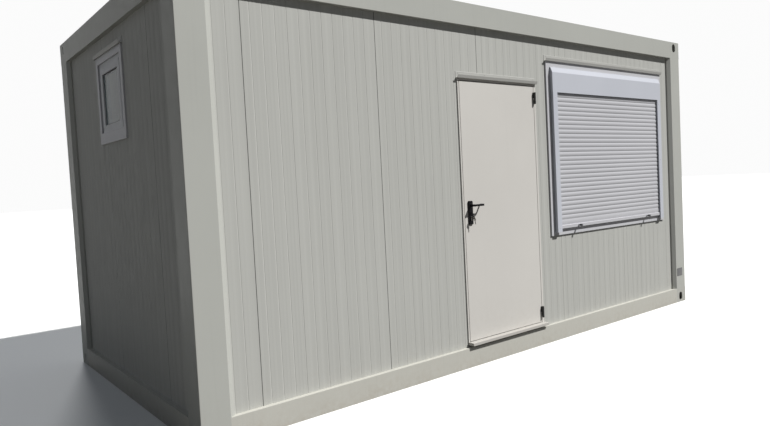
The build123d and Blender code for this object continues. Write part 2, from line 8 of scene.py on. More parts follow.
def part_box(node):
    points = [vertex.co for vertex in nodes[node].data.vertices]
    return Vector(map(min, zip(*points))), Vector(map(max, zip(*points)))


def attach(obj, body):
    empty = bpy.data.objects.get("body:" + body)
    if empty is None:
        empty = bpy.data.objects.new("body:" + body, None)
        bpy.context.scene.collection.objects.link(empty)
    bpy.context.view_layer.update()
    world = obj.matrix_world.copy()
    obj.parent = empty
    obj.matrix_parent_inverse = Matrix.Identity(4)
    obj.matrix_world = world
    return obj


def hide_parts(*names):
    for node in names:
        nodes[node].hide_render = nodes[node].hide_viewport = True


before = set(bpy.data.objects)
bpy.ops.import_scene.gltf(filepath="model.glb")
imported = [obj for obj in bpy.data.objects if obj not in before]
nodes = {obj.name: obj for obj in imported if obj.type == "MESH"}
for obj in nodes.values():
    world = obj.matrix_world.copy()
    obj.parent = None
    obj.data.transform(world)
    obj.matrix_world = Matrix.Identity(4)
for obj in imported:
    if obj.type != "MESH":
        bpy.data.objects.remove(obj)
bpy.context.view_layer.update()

# Places are given as on the drawing, in millimetres: along the long front from its left
# corner, in from the front face of the steel frame, and up from the ground.
cornerX, cornerY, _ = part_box("corner_posts")[0]
farX, farY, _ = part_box("corner_posts")[1]
outwardsFront = Vector((0, -1, 0))
outwardsLeft = Vector((-1, 0, 0))


def mm(value):
    return value / 1000


def spot(along, depth, height):
    return Vector((cornerX + mm(along), cornerY + mm(depth), mm(height)))


def spotLeft(along, depth, height):
    # The same on the left end, along from its far corner
    return Vector((cornerX + mm(depth), farY - mm(along), mm(height)))


def drawn(point):
    # A point of the model as along, depth and height on the front
    return (point.x - cornerX) * 1000, (point.y - cornerY) * 1000, point.z * 1000


# Small node helpers

def newGroup(name, inputs, outputs):
    group = bpy.data.node_groups.new(name, "ShaderNodeTree")
    for label, kind, value in inputs:
        socket = group.interface.new_socket(name=label, in_out="INPUT", socket_type=kind)
        if value is not None:
            socket.default_value = value
    for label in outputs:
        group.interface.new_socket(name=label, in_out="OUTPUT", socket_type="NodeSocketFloat")
    return group, group.nodes.new("NodeGroupInput"), group.nodes.new("NodeGroupOutput")


def join(tree, value, socket):
    if isinstance(value, (int, float)):
        socket.default_value = value
    elif isinstance(value, tuple):
        socket.default_value = (*value, 1.0)
    else:
        tree.links.new(value, socket)


def mathNode(tree, operation, first, second=None, clamp=False):
    node = tree.nodes.new("ShaderNodeMath")
    node.operation = operation
    node.use_clamp = clamp
    join(tree, first, node.inputs[0])
    if second is not None:
        join(tree, second, node.inputs[1])
    return node.outputs[0]


def mapRange(tree, value, fromLow, fromHigh, toLow=0.0, toHigh=1.0):
    node = tree.nodes.new("ShaderNodeMapRange")
    join(tree, value, node.inputs["Value"])
    join(tree, fromLow, node.inputs["From Min"])
    join(tree, fromHigh, node.inputs["From Max"])
    join(tree, toLow, node.inputs["To Min"])
    join(tree, toHigh, node.inputs["To Max"])
    return node.outputs["Result"]


def noiseNode(tree, vector, scale, detail=3.0, roughness=0.5):
    node = tree.nodes.new("ShaderNodeTexNoise")
    join(tree, vector, node.inputs["Vector"])
    join(tree, scale, node.inputs["Scale"])
    node.inputs["Detail"].default_value = detail
    node.inputs["Roughness"].default_value = roughness
    return node.outputs["Fac"]


def whiteNoise(tree, value):
    node = tree.nodes.new("ShaderNodeTexWhiteNoise")
    node.noise_dimensions = "1D"
    join(tree, value, node.inputs["W"])
    return node.outputs["Value"]


def stretched(tree, vector, scale):
    node = tree.nodes.new("ShaderNodeMapping")
    node.inputs["Scale"].default_value = scale
    join(tree, vector, node.inputs["Vector"])
    return node.outputs["Vector"]


def blendColours(tree, factor, first, second):
    node = tree.nodes.new("ShaderNodeMix")
    node.data_type = "RGBA"
    colourInputs = {socket.name: socket for socket in node.inputs if socket.type == "RGBA"}
    join(tree, first, colourInputs["A"])
    join(tree, second, colourInputs["B"])
    join(tree, factor, node.inputs["Factor"])
    return next(socket for socket in node.outputs if socket.type == "RGBA")


def splitAxes(tree, vector):
    node = tree.nodes.new("ShaderNodeSeparateXYZ")
    join(tree, vector, node.inputs[0])
    return node.outputs


# Node groups shared by the paints

def makePaintSkin():
    # Fine orange peel, slow waves of a thin sheet, and patches a shade lighter or darker
    group, source, target = newGroup("paintSkin", [
        ("Vector", "NodeSocketVector", None),
        ("Peel Scale", "NodeSocketFloat", 420.0),
        ("Wave Scale", "NodeSocketFloat", 2.2),
    ], ["Height", "Tone", "Gloss"])
    vector = source.outputs["Vector"]
    peel = noiseNode(group, vector, source.outputs["Peel Scale"], 2.0)
    waves = noiseNode(group, vector, source.outputs["Wave Scale"], 2.0)
    patches = noiseNode(group, vector, 0.9, 4.0, 0.6)
    smears = noiseNode(group, vector, 14.0, 5.0, 0.65)
    finePeel = mathNode(group, "MULTIPLY", peel, 0.06)  # far shallower than the waves
    join(group, mathNode(group, "ADD", finePeel, waves), target.inputs["Height"])
    join(group, mapRange(group, patches, 0.3, 0.7), target.inputs["Tone"])
    join(group, mapRange(group, smears, 0.35, 0.7), target.inputs["Gloss"])
    return group


def makeDustFall():
    # Splashed dust that thins out with height, and upright runs left by rain
    group, source, target = newGroup("dustFall", [
        ("Vector", "NodeSocketVector", None),
        ("Foot", "NodeSocketFloat", 0.0),
        ("Reach", "NodeSocketFloat", 0.35),
    ], ["Dust", "Streak"])
    vector = source.outputs["Vector"]
    height = mathNode(group, "SUBTRACT", splitAxes(group, vector)["Z"], source.outputs["Foot"])
    fade = mapRange(group, height, 0.0, source.outputs["Reach"], 1.0, 0.0)
    speckle = mapRange(group, noiseNode(group, vector, 26.0, 6.0, 0.7), 0.38, 0.72)
    cloud = mapRange(group, noiseNode(group, vector, 3.5, 3.0), 0.3, 0.7, 0.35, 1.35)
    thinning = mathNode(group, "MULTIPLY", mathNode(group, "MULTIPLY", fade, fade), speckle)
    join(group, mathNode(group, "MULTIPLY", thinning, cloud, True), target.inputs["Dust"])
    runs = noiseNode(group, stretched(group, vector, (38.0, 38.0, 0.8)), 1.0, 3.0, 0.6)
    join(group, mapRange(group, runs, 0.56, 0.78), target.inputs["Streak"])
    return group


def makePanelLines():
    # Lines of the wall panels: the rolled grooves, lit by painted light of random strength, a painted
    # highlight on the crown between each two, the dark joint to the next panel and a number for every fine
    # strip
    group, source, target = newGroup("panelLines", [
        ("Along", "NodeSocketFloat", 0.0),
        ("Panel", "NodeSocketFloat", 1.0),
        ("First", "NodeSocketFloat", 0.061),
        ("Pitch", "NodeSocketFloat", 0.0844),
        ("Last", "NodeSocketFloat", 10.0),
    ], ["Filled", "Crown", "Joint", "Strip"])
    along = source.outputs["Along"]
    pitch = source.outputs["Pitch"]
    onPanel = mathNode(group, "FLOORED_MODULO", along, source.outputs["Panel"])
    fromFirst = mathNode(group, "SUBTRACT", onPanel, source.outputs["First"])
    turns = mathNode(group, "DIVIDE", fromFirst, pitch)
    notBeforeFirst = mathNode(group, "MAXIMUM", mathNode(group, "ROUND", turns), 0.0)
    nearest = mathNode(group, "MINIMUM", notBeforeFirst, source.outputs["Last"])
    offGroove = mathNode(group, "ABSOLUTE", mathNode(group, "SUBTRACT", turns, nearest))
    away = mathNode(group, "MULTIPLY", offGroove, pitch)
    line = mapRange(group, away, mm(0.8), mm(2.8), 1.0, 0.0)
    panelNumber = mathNode(group, "FLOOR", mathNode(group, "DIVIDE", along, source.outputs["Panel"]))
    grooveNumber = mathNode(group, "ADD", mathNode(group, "MULTIPLY", panelNumber, 31.0), nearest)
    ownNumber = whiteNoise(group, mathNode(group, "ADD", grooveNumber, 0.37))
    # each groove gets a random share of the painted light that lightens its shade
    share = mapRange(group, ownNumber, 0.0, 1.0, 0.3, 1.0)
    join(group, mathNode(group, "MULTIPLY", line, share), target.inputs["Filled"])
    toNext = mathNode(group, "SUBTRACT", source.outputs["Panel"], onPanel)
    offJoint = mathNode(group, "MINIMUM", onPanel, toNext)
    atJoint = mapRange(group, offJoint, mm(1.4), mm(3.0), 1.0, 0.0)
    openness = mapRange(group, along, 2.3, 2.9, 1.0, 0.12)  # the joints close up towards the far end
    join(group, mathNode(group, "MULTIPLY", atJoint, openness), target.inputs["Joint"])
    between = mathNode(group, "SUBTRACT", mathNode(group, "FRACT", turns), 0.45)
    offCrown = mathNode(group, "MULTIPLY", mathNode(group, "ABSOLUTE", between), pitch)
    # mask of the crowns, used both for a painted highlight and for a low bump
    join(group, mapRange(group, offCrown, mm(4.5), mm(10.5), 1.0, 0.0), target.inputs["Crown"])
    fifths = mathNode(group, "DIVIDE", mathNode(group, "MULTIPLY", along, 5.0), pitch)
    number = mathNode(group, "ADD", mathNode(group, "FLOOR", fifths), 0.5)
    join(group, whiteNoise(group, number), target.inputs["Strip"])
    return group


def makeRepeatLine():
    # One soft-edged line at a fixed pitch
    group, source, target = newGroup("repeatLine", [
        ("Along", "NodeSocketFloat", 0.0),
        ("Start", "NodeSocketFloat", 0.0),
        ("Pitch", "NodeSocketFloat", 0.04),
        ("Half", "NodeSocketFloat", 0.003),
    ], ["Line"])
    fromStart = mathNode(group, "SUBTRACT", source.outputs["Along"], source.outputs["Start"])
    turns = mathNode(group, "DIVIDE", fromStart, source.outputs["Pitch"])
    off = mathNode(group, "ABSOLUTE", mathNode(group, "SUBTRACT", turns, mathNode(group, "ROUND", turns)))
    away = mathNode(group, "MULTIPLY", off, source.outputs["Pitch"])
    reach = mathNode(group, "MULTIPLY", source.outputs["Half"], 1.7)
    join(group, mapRange(group, away, source.outputs["Half"], reach, 1.0, 0.0), target.inputs["Line"])
    return group


paintSkin = makePaintSkin()
dustFall = makeDustFall()
panelLines = makePanelLines()
repeatLine = makeRepeatLine()


# Materials

class Finish:
    # One material under construction: its tree, its shader and its object coordinates
    def __init__(self, name):
        self.material = bpy.data.materials.new(name)
        self.material.use_nodes = True
        self.tree = self.material.node_tree
        self.shader = self.tree.nodes["Principled BSDF"]
        self.place = self.tree.nodes.new("ShaderNodeTexCoord").outputs["Object"]
        self.axes = splitAxes(self.tree, self.place)

    def put(self, group, **values):
        node = self.tree.nodes.new("ShaderNodeGroup")
        node.node_tree = group
        for label, value in values.items():
            join(self.tree, value, node.inputs[label.replace("_", " ")])
        return node.outputs

    def blend(self, factor, first, second):
        return blendColours(self.tree, factor, first, second)

    def scaled(self, value, factor):
        return mathNode(self.tree, "MULTIPLY", value, factor)

    def between(self, mask, low, high):
        return mapRange(self.tree, mask, 0.0, 1.0, low, high)

    def feed(self, label, value):
        join(self.tree, value, self.shader.inputs[label])

    def bump(self, height, strength, distance):
        node = self.tree.nodes.new("ShaderNodeBump")
        node.inputs["Strength"].default_value = strength
        node.inputs["Distance"].default_value = distance
        join(self.tree, height, node.inputs["Height"])
        join(self.tree, node.outputs["Normal"], self.shader.inputs["Normal"])


def tint(colour, factor):
    return tuple(min(1.0, channel * factor) for channel in colour)


paints = {
    "frame": (0.408, 0.414, 0.386),
    "floorRail": (0.478, 0.472, 0.430),
    "wall": (0.440, 0.443, 0.418),
    "door": (0.568, 0.552, 0.522),
    # the door's colour darkened by a fifth: painted shade that tones down the sun on the sill's top
    "sillShaded": (0.455, 0.442, 0.416),
    "gutter": (0.428, 0.428, 0.406),
    "shutter": (0.492, 0.509, 0.558),
    "slat": (0.482, 0.484, 0.508),
    "trim": (0.498, 0.500, 0.521),
    "lining": (0.700, 0.700, 0.680),
    "dust": (0.330, 0.285, 0.220),
}
paintShine = 0.05  # low, so that the white surroundings don't wash over the paint


def paintedSteel(name, colour, roughness, dust=(0.0, 0.3, 0.0), streaks=0.05, peel=420.0, relief=0.12):
    # Sprayed or coil-coated paint; dust is its foot, its reach and its strength
    finish = Finish(name)
    skin = finish.put(paintSkin, Vector=finish.place, Peel_Scale=peel)
    fall = finish.put(dustFall, Vector=finish.place, Foot=dust[0], Reach=dust[1])
    base = finish.blend(skin["Tone"], tint(colour, 0.97), tint(colour, 1.03))
    streaked = finish.blend(finish.scaled(fall["Streak"], streaks), base, tint(colour, 0.6))
    finish.feed("Base Color", finish.blend(finish.scaled(fall["Dust"], dust[2]), streaked, paints["dust"]))
    finish.feed("Roughness", finish.between(skin["Gloss"], roughness - 0.05, roughness + 0.08))
    finish.feed("Specular IOR Level", paintShine)
    finish.bump(skin["Height"], relief, 0.002)
    return finish.material


# Places in metres, then how strongly each line, stain and painted light shows
wallSheet = {"firstJoint": 0.410, "endJoint": 0.140, "indoorsFrom": 0.066, "foot": 0.15, "dustReach": 0.5,
             "strip": 0.20, "crown": 0.12, "grooveLight": 0.13, "joint": 0.8, "streak": 0.05, "dust": 0.14}


def ribbedSheet(name, axis, start, way, inside):
    # Coated panel sheet: faint lines outside, with painted light in the grooves and a painted highlight on
    # the crowns, smooth pale lining indoors
    colour = paints["wall"]
    finish = Finish(name)
    along = finish.scaled(mathNode(finish.tree, "SUBTRACT", finish.axes[axis], start), way)
    lines = finish.put(panelLines, Along=along)
    skin = finish.put(paintSkin, Vector=finish.place, Peel_Scale=500.0)
    fall = finish.put(dustFall, Vector=finish.place, Foot=wallSheet["foot"], Reach=wallSheet["dustReach"])
    base = finish.blend(skin["Tone"], tint(colour, 0.98), tint(colour, 1.02))
    banded = finish.blend(finish.scaled(lines["Strip"], wallSheet["strip"]), base, tint(colour, 0.72))
    # painted highlight on the crowns, where the sheet's profile faces the light
    crowned = finish.blend(finish.scaled(lines["Crown"], wallSheet["crown"]), banded, tint(colour, 1.22))
    # painted light in the grooves, lightening the shade that falls in them
    grooveLightened = finish.blend(finish.scaled(lines["Filled"], wallSheet["grooveLight"]), crowned, tint(colour, 2.0))
    jointed = finish.blend(finish.scaled(lines["Joint"], wallSheet["joint"]), grooveLightened, tint(colour, 0.1))
    streaked = finish.blend(finish.scaled(fall["Streak"], wallSheet["streak"]), jointed, tint(colour, 0.6))
    dusty = finish.blend(finish.scaled(fall["Dust"], wallSheet["dust"]), streaked, paints["dust"])
    insideAxis, insideFrom, insideWay = inside
    inwards = finish.scaled(finish.axes[insideAxis], insideWay)
    indoors = mathNode(finish.tree, "GREATER_THAN", inwards, insideFrom * insideWay)
    finish.feed("Base Color", finish.blend(indoors, dusty, paints["lining"]))
    finish.feed("Roughness", finish.between(skin["Gloss"], 0.58, 0.70))
    finish.feed("Specular IOR Level", paintShine)
    waves = finish.scaled(skin["Height"], 0.12)
    crowns = finish.scaled(lines["Crown"], 0.5)
    finish.bump(mathNode(finish.tree, "ADD", waves, crowns), 0.3, 0.0008)
    return finish.material


# Painted shade lines and limits in millimetres from the curtain's foot and the frame's face, the dust's in
# metres
slats = {"firstKnuckleShade": 37.5, "pitch": 40, "halfKnuckleShade": 2.2, "barTop": -4, "bufferDepth": -7,
         "foot": 0.9, "dustReach": 0.6, "knuckleShade": 0.40, "dust": 0.10, "rubber": (0.080, 0.081, 0.085)}


def slatPaint():
    # Coated aluminium slats: painted shade along each knuckle where two hook together, a little dust low
    # down, and grey rubber on the two buffers that stand out in front of the curtain
    colour = paints["slat"]
    finish = Finish("slatPaint")
    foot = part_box("shutter_curtain")[0].z
    knuckles = finish.put(repeatLine, Along=finish.axes["Z"], Start=foot + mm(slats["firstKnuckleShade"]),
                          Pitch=mm(slats["pitch"]), Half=mm(slats["halfKnuckleShade"]))
    skin = finish.put(paintSkin, Vector=finish.place, Peel_Scale=600.0)
    fall = finish.put(dustFall, Vector=finish.place, Foot=slats["foot"], Reach=slats["dustReach"])
    base = finish.blend(skin["Tone"], tint(colour, 0.975), tint(colour, 1.02))
    onCurtain = mathNode(finish.tree, "GREATER_THAN", finish.axes["Z"], foot + mm(slats["barTop"]))
    # painted shade along each knuckle where two slats hook together
    knuckleShadeMask = mathNode(finish.tree, "MULTIPLY", knuckles["Line"], onCurtain)
    knuckleShaded = finish.blend(finish.scaled(knuckleShadeMask, slats["knuckleShade"]), base, tint(colour, 0.12))
    dusty = finish.blend(finish.scaled(fall["Dust"], slats["dust"]), knuckleShaded, paints["dust"])
    onBuffer = mathNode(finish.tree, "LESS_THAN", finish.axes["Y"], cornerY + mm(slats["bufferDepth"]))
    finish.feed("Base Color", finish.blend(onBuffer, dusty, slats["rubber"]))
    finish.feed("Roughness", finish.between(skin["Gloss"], 0.34, 0.46))
    finish.feed("Specular IOR Level", paintShine)
    finish.bump(skin["Height"], 0.05, 0.002)
    return finish.material


zinc = {"cells": 60.0, "middle": (0.34, 0.36, 0.37), "edge": (0.46, 0.48, 0.50),
        "weathered": (0.41, 0.42, 0.42)}


def zincSheet():
    # Crystals of zinc a centimetre or two across, weathered dull
    finish = Finish("zincSheet")
    cells = finish.tree.nodes.new("ShaderNodeTexVoronoi")
    cells.inputs["Scale"].default_value = zinc["cells"]
    join(finish.tree, finish.place, cells.inputs["Vector"])
    skin = finish.put(paintSkin, Vector=finish.place, Peel_Scale=200.0)
    crystal = finish.blend(cells.outputs["Distance"], zinc["middle"], zinc["edge"])
    finish.feed("Base Color", finish.blend(skin["Gloss"], crystal, zinc["weathered"]))
    finish.feed("Metallic", 0.3)
    finish.feed("Specular IOR Level", 0.1)
    finish.feed("Roughness", finish.between(cells.outputs["Distance"], 0.62, 0.80))
    finish.bump(skin["Height"], 0.1, 0.002)
    return finish.material


flooring = {"dull": (0.150, 0.148, 0.142), "pale": (0.185, 0.182, 0.175),
            "darkFleck": (0.08, 0.08, 0.08), "paleFleck": (0.34, 0.335, 0.32)}


def floorCovering():
    # Sheet flooring: mid grey with small lighter and darker flecks
    finish = Finish("floorCovering")
    flecks = noiseNode(finish.tree, finish.place, 240.0, 2.0)
    patches = noiseNode(finish.tree, finish.place, 1.6, 4.0, 0.6)
    ground = finish.blend(mapRange(finish.tree, patches, 0.3, 0.7), flooring["dull"], flooring["pale"])
    darkFlecks = mapRange(finish.tree, flecks, 0.60, 0.66)
    paleFlecks = mapRange(finish.tree, flecks, 0.40, 0.34)
    flecked = finish.blend(darkFlecks, ground, flooring["darkFleck"])
    finish.feed("Base Color", finish.blend(paleFlecks, flecked, flooring["paleFleck"]))
    finish.feed("Roughness", mapRange(finish.tree, patches, 0.3, 0.7, 0.42, 0.58))
    finish.bump(flecks, 0.08, 0.0006)
    return finish.material


def mouldedBlack(name, colour, roughness, grainScale):
    # Powder-coated, moulded or rubber black with a fine grain and rubbed, greyer patches
    finish = Finish(name)
    grain = noiseNode(finish.tree, finish.place, grainScale, 2.0)
    rubbed = mapRange(finish.tree, noiseNode(finish.tree, finish.place, 55.0, 4.0, 0.6), 0.5, 0.75)
    finish.feed("Base Color", finish.blend(rubbed, colour, tint(colour, 2.2)))
    finish.feed("Roughness", finish.between(rubbed, roughness, roughness + 0.14))
    finish.feed("Specular IOR Level", paintShine)
    finish.bump(grain, 0.15, 0.0003)
    return finish.material


def satinMetal(name, colour, roughness):
    # Turned or stamped metal with fine scratches
    finish = Finish(name)
    brushed = stretched(finish.tree, finish.place, (90.0, 90.0, 2400.0))
    scratches = noiseNode(finish.tree, brushed, 1.0, 4.0, 0.7)
    smears = mapRange(finish.tree, noiseNode(finish.tree, finish.place, 120.0, 3.0), 0.35, 0.7)
    finish.feed("Base Color", finish.blend(smears, tint(colour, 0.88), colour))
    finish.feed("Metallic", 1.0)
    finish.feed("Roughness", mapRange(finish.tree, scratches, 0.3, 0.7, roughness - 0.06, roughness + 0.1))
    finish.bump(scratches, 0.06, 0.0002)
    return finish.material


profileWhite = {"dull": (0.56, 0.57, 0.59), "bright": (0.61, 0.62, 0.635), "dusty": (0.45, 0.43, 0.40)}


def windowPlastic():
    # Smooth white profile, a little dusty in patches
    finish = Finish("windowPlastic")
    skin = finish.put(paintSkin, Vector=finish.place, Peel_Scale=900.0, Wave_Scale=6.0)
    base = finish.blend(skin["Tone"], profileWhite["dull"], profileWhite["bright"])
    finish.feed("Base Color", finish.blend(finish.scaled(skin["Gloss"], 0.08), base, profileWhite["dusty"]))
    finish.feed("Roughness", finish.between(skin["Gloss"], 0.40, 0.52))
    finish.feed("Specular IOR Level", paintShine)
    finish.bump(skin["Height"], 0.04, 0.001)
    return finish.material


def paneGlass():
    # Faintly green double glazing with a thin film of dust, seen as patches of higher roughness
    finish = Finish("paneGlass")
    film = noiseNode(finish.tree, finish.place, 7.0, 5.0, 0.6)
    finish.feed("Base Color", (0.52, 0.57, 0.58))
    finish.feed("Roughness", mapRange(finish.tree, film, 0.45, 0.8, 0.01, 0.09))
    finish.feed("IOR", 1.12)  # low, so that the panes mirror less of the white surroundings
    finish.feed("Transmission Weight", 1.0)
    return finish.material


framePaint = paintedSteel("framePaint", paints["frame"], 0.42, dust=(0.0, 0.5, 0.3), streaks=0.08)
floorRailPaint = paintedSteel("floorRailPaint", paints["floorRail"], 0.42, dust=(0.0, 0.22, 0.5),
                              streaks=0.10)
doorPaint = paintedSteel("doorPaint", paints["door"], 0.40, dust=(0.2, 0.5, 0.15), streaks=0.04, peel=380.0)
# The sill's paint, darker than the door's: painted shade for its sunlit top, with real dust on it as well
shadedSillPaint = paintedSteel("shadedSillPaint", paints["sillShaded"], 0.44, dust=(0.1, 0.3, 0.4), streaks=0.04, peel=380.0)
shutterPaint = paintedSteel("shutterPaint", paints["shutter"], 0.36, streaks=0.05, peel=600.0, relief=0.05)
gutterPaint = paintedSteel("gutterPaint", paints["gutter"], 0.42, streaks=0.08, peel=380.0)
trimPaint = paintedSteel("trimPaint", paints["trim"], 0.38, streaks=0.06, peel=600.0, relief=0.05)
liningPaint = paintedSteel("liningPaint", paints["lining"], 0.5, streaks=0.0)
slatFinish = slatPaint()
joint = wallSheet["firstJoint"]
endJoint = wallSheet["endJoint"]
indoorsFrom = wallSheet["indoorsFrom"]
wallPaints = {
    "front": ribbedSheet("wallPaintFront", "X", cornerX + joint, 1, ("Y", cornerY + indoorsFrom, 1)),
    "back": ribbedSheet("wallPaintBack", "X", farX - joint, -1, ("Y", farY - indoorsFrom, -1)),
    "left": ribbedSheet("wallPaintLeft", "Y", farY - endJoint, -1, ("X", cornerX + indoorsFrom, 1)),
    "right": ribbedSheet("wallPaintRight", "Y", cornerY + endJoint, 1, ("X", farX - indoorsFrom, -1)),
}
galvanised = zincSheet()
floorSheet = floorCovering()
blackCoat = mouldedBlack("blackCoat", (0.006, 0.006, 0.007), 0.46, 1500.0)
hingeCoat = mouldedBlack("hingeCoat", (0.062, 0.062, 0.060), 0.5, 1500.0)
rubberSeal = mouldedBlack("rubberSeal", (0.020, 0.020, 0.020), 0.66, 300.0)
# The lock's nickel, near black: painted shade, as the cylinder lies in shade
shadedLockNickel = satinMetal("shadedLockNickel", (0.090, 0.085, 0.075), 0.36)
keyNickel = satinMetal("keyNickel", (0.110, 0.105, 0.095), 0.38)
screwSteel = satinMetal("screwSteel", (0.50, 0.51, 0.52), 0.34)
plateMetal = satinMetal("plateMetal", (0.13, 0.13, 0.13), 0.5)
whiteProfile = windowPlastic()
glazing = paneGlass()
sealant = paintedSteel("sealant", (0.50, 0.50, 0.48), 0.55, streaks=0.1, peel=90.0, relief=0.3)

nodeFinishes = {
    framePaint: ["corner_blocks_bottom", "corner_blocks_top", "corner_posts", "roof_rails"],
    floorRailPaint: ["floor_rails"],
    galvanised: ["floor_joists", "base_sheet", "roof_joists", "roof_sheet"],
    floorSheet: ["floor_deck"],
    liningPaint: ["ceiling_panel"],
    wallPaints["front"]: ["front_wall_left", "front_wall_over_door", "front_wall_middle",
                          "front_wall_at_window", "front_wall_right"],
    wallPaints["left"]: ["left_wall_back", "left_wall_at_window", "left_wall_front"],
    wallPaints["back"]: ["back_wall"],
    wallPaints["right"]: ["right_wall"],
    doorPaint: ["door_frame", "door_leaf"],
    shadedSillPaint: ["door_sill"],
    gutterPaint: ["door_drip_cap", "window_drip_cap", "end_window_drip_cap"],
    blackCoat: ["lever_handle"],
    hingeCoat: ["door_hinges_on_frame", "door_hinges_on_leaf"],
    shadedLockNickel: ["lock_cylinder"],
    trimPaint: ["window_trim", "end_window_trim"],
    whiteProfile: ["window_frame", "window_sashes", "end_window_frame", "end_window_sash"],
    glazing: ["window_glass", "end_window_glass"],
    shutterPaint: ["shutter_box", "shutter_guides"],
    slatFinish: ["shutter_curtain", "shutter_bottom_bar"],
}
for material, names in nodeFinishes.items():
    for nodeName in names:
        for slotOfNode in nodes[nodeName].material_slots:
            slotOfNode.material = material
print("materials made")


# Modelling helpers

closeTo = 1e-6  # points nearer than this are one place
crispFrom = 35  # faces that meet at a larger angle keep a crisp edge


def edgesOf(verts):
    return list({edge for vert in verts for edge in vert.link_edges})


def addBox(bm, low, high):
    verts = bmesh.ops.create_cube(bm, size=1.0)["verts"]
    bmesh.ops.scale(bm, vec=high - low, verts=verts)
    bmesh.ops.translate(bm, vec=(low + high) / 2, verts=verts)
    return edgesOf(verts)


def roundOff(bm, edges, offset, segments):
    return bmesh.ops.bevel(bm, geom=edges, offset=offset, segments=segments, profile=0.5, affect="EDGES",
                           material=-1)


def spinRound(bm, geom, centre, axis, steps):
    bmesh.ops.spin(bm, geom=geom, cent=centre, axis=axis, dvec=(0, 0, 0), angle=2 * math.pi, steps=steps,
                   use_merge=True, use_duplicate=False)


def thicken(bm, faces, way):
    # Flat faces pushed out into a closed block
    pushed = bmesh.ops.extrude_face_region(bm, geom=faces)
    verts = [item for item in pushed["geom"] if isinstance(item, bmesh.types.BMVert)]
    bmesh.ops.translate(bm, vec=way, verts=verts)


def addBlock(bm, low, high, rounding):
    roundOff(bm, addBox(bm, low, high), rounding, 2)


def ordered(first, second):
    pairs = list(zip(first, second))
    return Vector(min(pair) for pair in pairs), Vector(max(pair) for pair in pairs)


def addPlate(bm, low, high, axis, front, corner, rim):
    # A flat plate with round corners seen along an axis, and a softened front rim
    along = [edge for edge in addBox(bm, low, high)
             if abs(edge.verts[0].co[axis] - edge.verts[1].co[axis]) > closeTo]
    rounded = roundOff(bm, along, corner, 6)
    rims = [edge for edge in edgesOf(rounded["verts"])
            if all(abs(vert.co[axis] - front) < closeTo for vert in edge.verts)]
    roundOff(bm, rims, rim, 3)


def addTurned(bm, base, axis, profile, steps=24):
    # A profile of radius and rise, in millimetres, turned about an axis
    side = axis.orthogonal().normalized()
    verts = [bm.verts.new(base + side * mm(radius) + axis * mm(rise)) for radius, rise in profile]
    edges = [bm.edges.new(pair) for pair in zip(verts, verts[1:])]
    spinRound(bm, verts + edges, base, axis, steps)
    bmesh.ops.remove_doubles(bm, verts=bm.verts, dist=closeTo)


def addRing(bm, centre, axis, ringRadius, wireRadius):
    # A wire ring, round in section
    side = axis.orthogonal().normalized()
    turn = axis.cross(side).to_track_quat("Z", "Y").to_matrix().to_4x4()
    place = Matrix.Translation(centre + side * ringRadius) @ turn
    verts = bmesh.ops.create_circle(bm, cap_ends=False, segments=8, radius=wireRadius, matrix=place)["verts"]
    spinRound(bm, verts + edgesOf(verts), centre, axis, 28)


def addScrew(bm, place, outwards, radius, proud):
    # A low domed head with a round driver recess
    addTurned(bm, place, outwards, [
        (0, 0), (radius, 0), (radius, proud * 0.35), (radius * 0.8, proud * 0.8), (radius * 0.46, proud),
        (radius * 0.40, proud * 0.4), (0, proud * 0.4),
    ], steps=16)


def addSurround(bm, corners, width, thickness):
    # A flat ring of even width just inside four corners, given a thickness
    face = bm.faces.new([bm.verts.new(corner) for corner in corners])
    face.normal_update()
    inset = bmesh.ops.inset_individual(bm, faces=[face], thickness=width, depth=0.0, use_even_offset=True)
    bmesh.ops.delete(bm, geom=[face], context="FACES_ONLY")
    thicken(bm, inset["faces"], thickness)


def evenly(start, end, spacing):
    # Places from start to end, both used, about a spacing apart
    count = max(1, round((end - start) / spacing))
    return [start + (end - start) * i / count for i in range(count + 1)]


def finishPiece(name, bm, material, body):
    bmesh.ops.recalc_face_normals(bm, faces=bm.faces)
    mesh = bpy.data.meshes.new(name)
    bm.to_mesh(mesh)
    bm.free()
    mesh.materials.append(material)
    mesh.shade_smooth()
    mesh.set_sharp_from_angle(angle=math.radians(crispFrom))
    piece = bpy.data.objects.new(name, mesh)
    bpy.context.scene.collection.objects.link(piece)
    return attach(piece, body)


# Bare plate on the right post

barePlate = {"left": 5383, "right": 5493, "foot": 284, "top": 370, "thick": 1.5, "corner": 4, "rim": 0.4,
             "rivetInset": 8, "rivet": 2.6, "rivetRise": 1.2}


def buildBarePlate():
    bm = bmesh.new()
    front = -barePlate["thick"]
    inset = barePlate["rivetInset"]
    low, high = ordered(spot(barePlate["left"], front, barePlate["foot"]),
                        spot(barePlate["right"], 0, barePlate["top"]))
    addPlate(bm, low, high, 1, low.y, mm(barePlate["corner"]), mm(barePlate["rim"]))
    for along in (barePlate["left"] + inset, barePlate["right"] - inset):
        for height in (barePlate["foot"] + inset, barePlate["top"] - inset):
            place = spot(along, front, height)
            addScrew(bm, place, outwardsFront, barePlate["rivet"], barePlate["rivetRise"])
    finishPiece("barePlate", bm, plateMetal, "cabin")


buildBarePlate()
print("bare plate made")

# Handle plates: squarer at their ends than the solids they stand for, with a collar round the
# lever's neck and two screws each

lever = {"along": 2258, "height": 1250, "neck": 9}
handlePlates = {"halfWidth": 24, "top": 1286, "foot": 1102, "corner": 9, "rim": 2,
                "collar": 4.5, "collarProud": 3, "collarEdge": 1, "neckGap": 0.4,
                "screw": 3.6, "screwRise": 1.2, "screwInset": 12}


